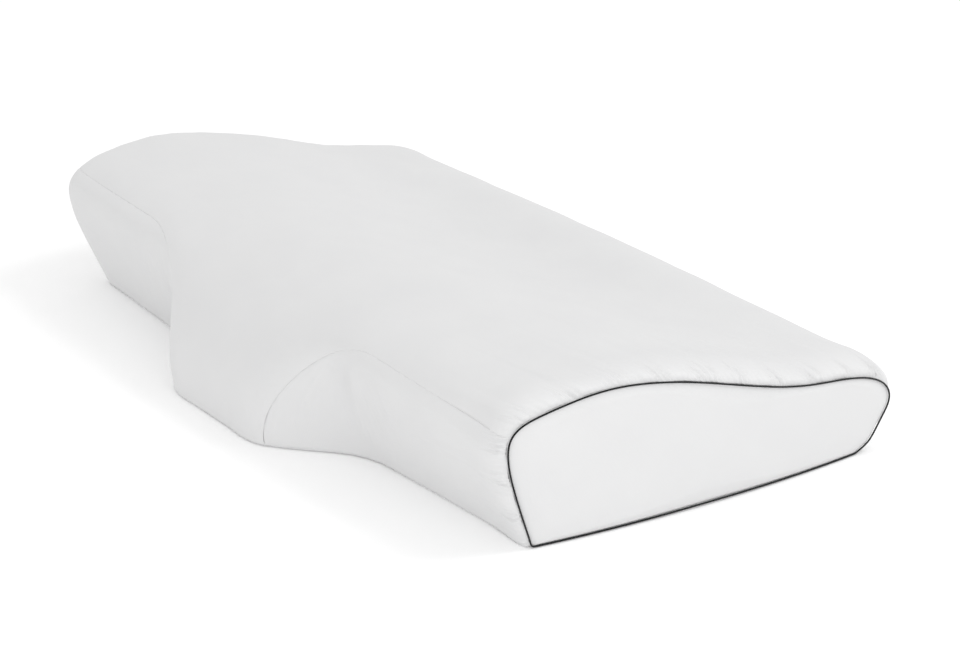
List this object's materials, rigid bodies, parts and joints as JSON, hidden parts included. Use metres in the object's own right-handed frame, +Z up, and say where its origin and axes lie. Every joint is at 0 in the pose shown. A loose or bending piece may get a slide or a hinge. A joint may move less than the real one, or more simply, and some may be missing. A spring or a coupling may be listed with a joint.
{
  "type": "contoured cervical traction pillow",
  "caption": "Butterfly-shaped contoured foam pillow that supports and gently stretches the neck, in a soft white zipped cover with dark piping round its end panels.",
  "frame": {"origin": "middle of the footprint's bounding box, on the surface the pillow lies on", "axes": "+X along the pillow's length, +Y from the neck side towards the back, +Z up"},
  "size_m": [0.6356, 0.3587, 0.1101],
  "materials": {
    "memory_foam": "matte",
    "liner_knit": "matte",
    "cover_knit": "matte",
    "piping_black": "matte",
    "piping_cord": "matte",
    "zip_tape": "matte",
    "zip_coil": "satin",
    "zip_metal": "satin"
  },
  "bodies": {
    "pillow": {"foam_core": "memory_foam", "liner_upper": "liner_knit", "liner_lower": "liner_knit", "cover_top_panel": "cover_knit", "cover_bottom_panel": "cover_knit", "cover_back_strip": "cover_knit", "cover_front_panel_left": "cover_knit", "cover_front_panel_right": "cover_knit", "cover_end_panel_left": "cover_knit", "cover_end_panel_right": "cover_knit", "piping_sleeve_left": "piping_black", "piping_sleeve_right": "piping_black", "piping_cord_left": "piping_cord", "piping_cord_right": "piping_cord", "zip_tape_upper": "zip_tape", "zip_tape_lower": "zip_tape", "zip_coil_upper": "zip_coil", "zip_coil_lower": "zip_coil", "zip_top_stops": "zip_metal", "zip_bottom_stop": "zip_metal"},
    "slider": {"zip_slider": "zip_metal"},
    "pull": {"zip_pull_tab": "zip_metal"}
  },
  "joints": [
    {"name": "zip_slide", "type": "slide", "parent": "pillow", "child": "slider", "axis": [-1, 0, 0], "range_m": [0, 0.444]},
    {"name": "pull_hinge", "type": "hinge", "parent": "slider", "child": "pull", "pos_m": [0.222, 0.17155, 0.0151], "axis": [0, -0.4913, -0.871], "range_deg": [0, 150]}
  ]
}
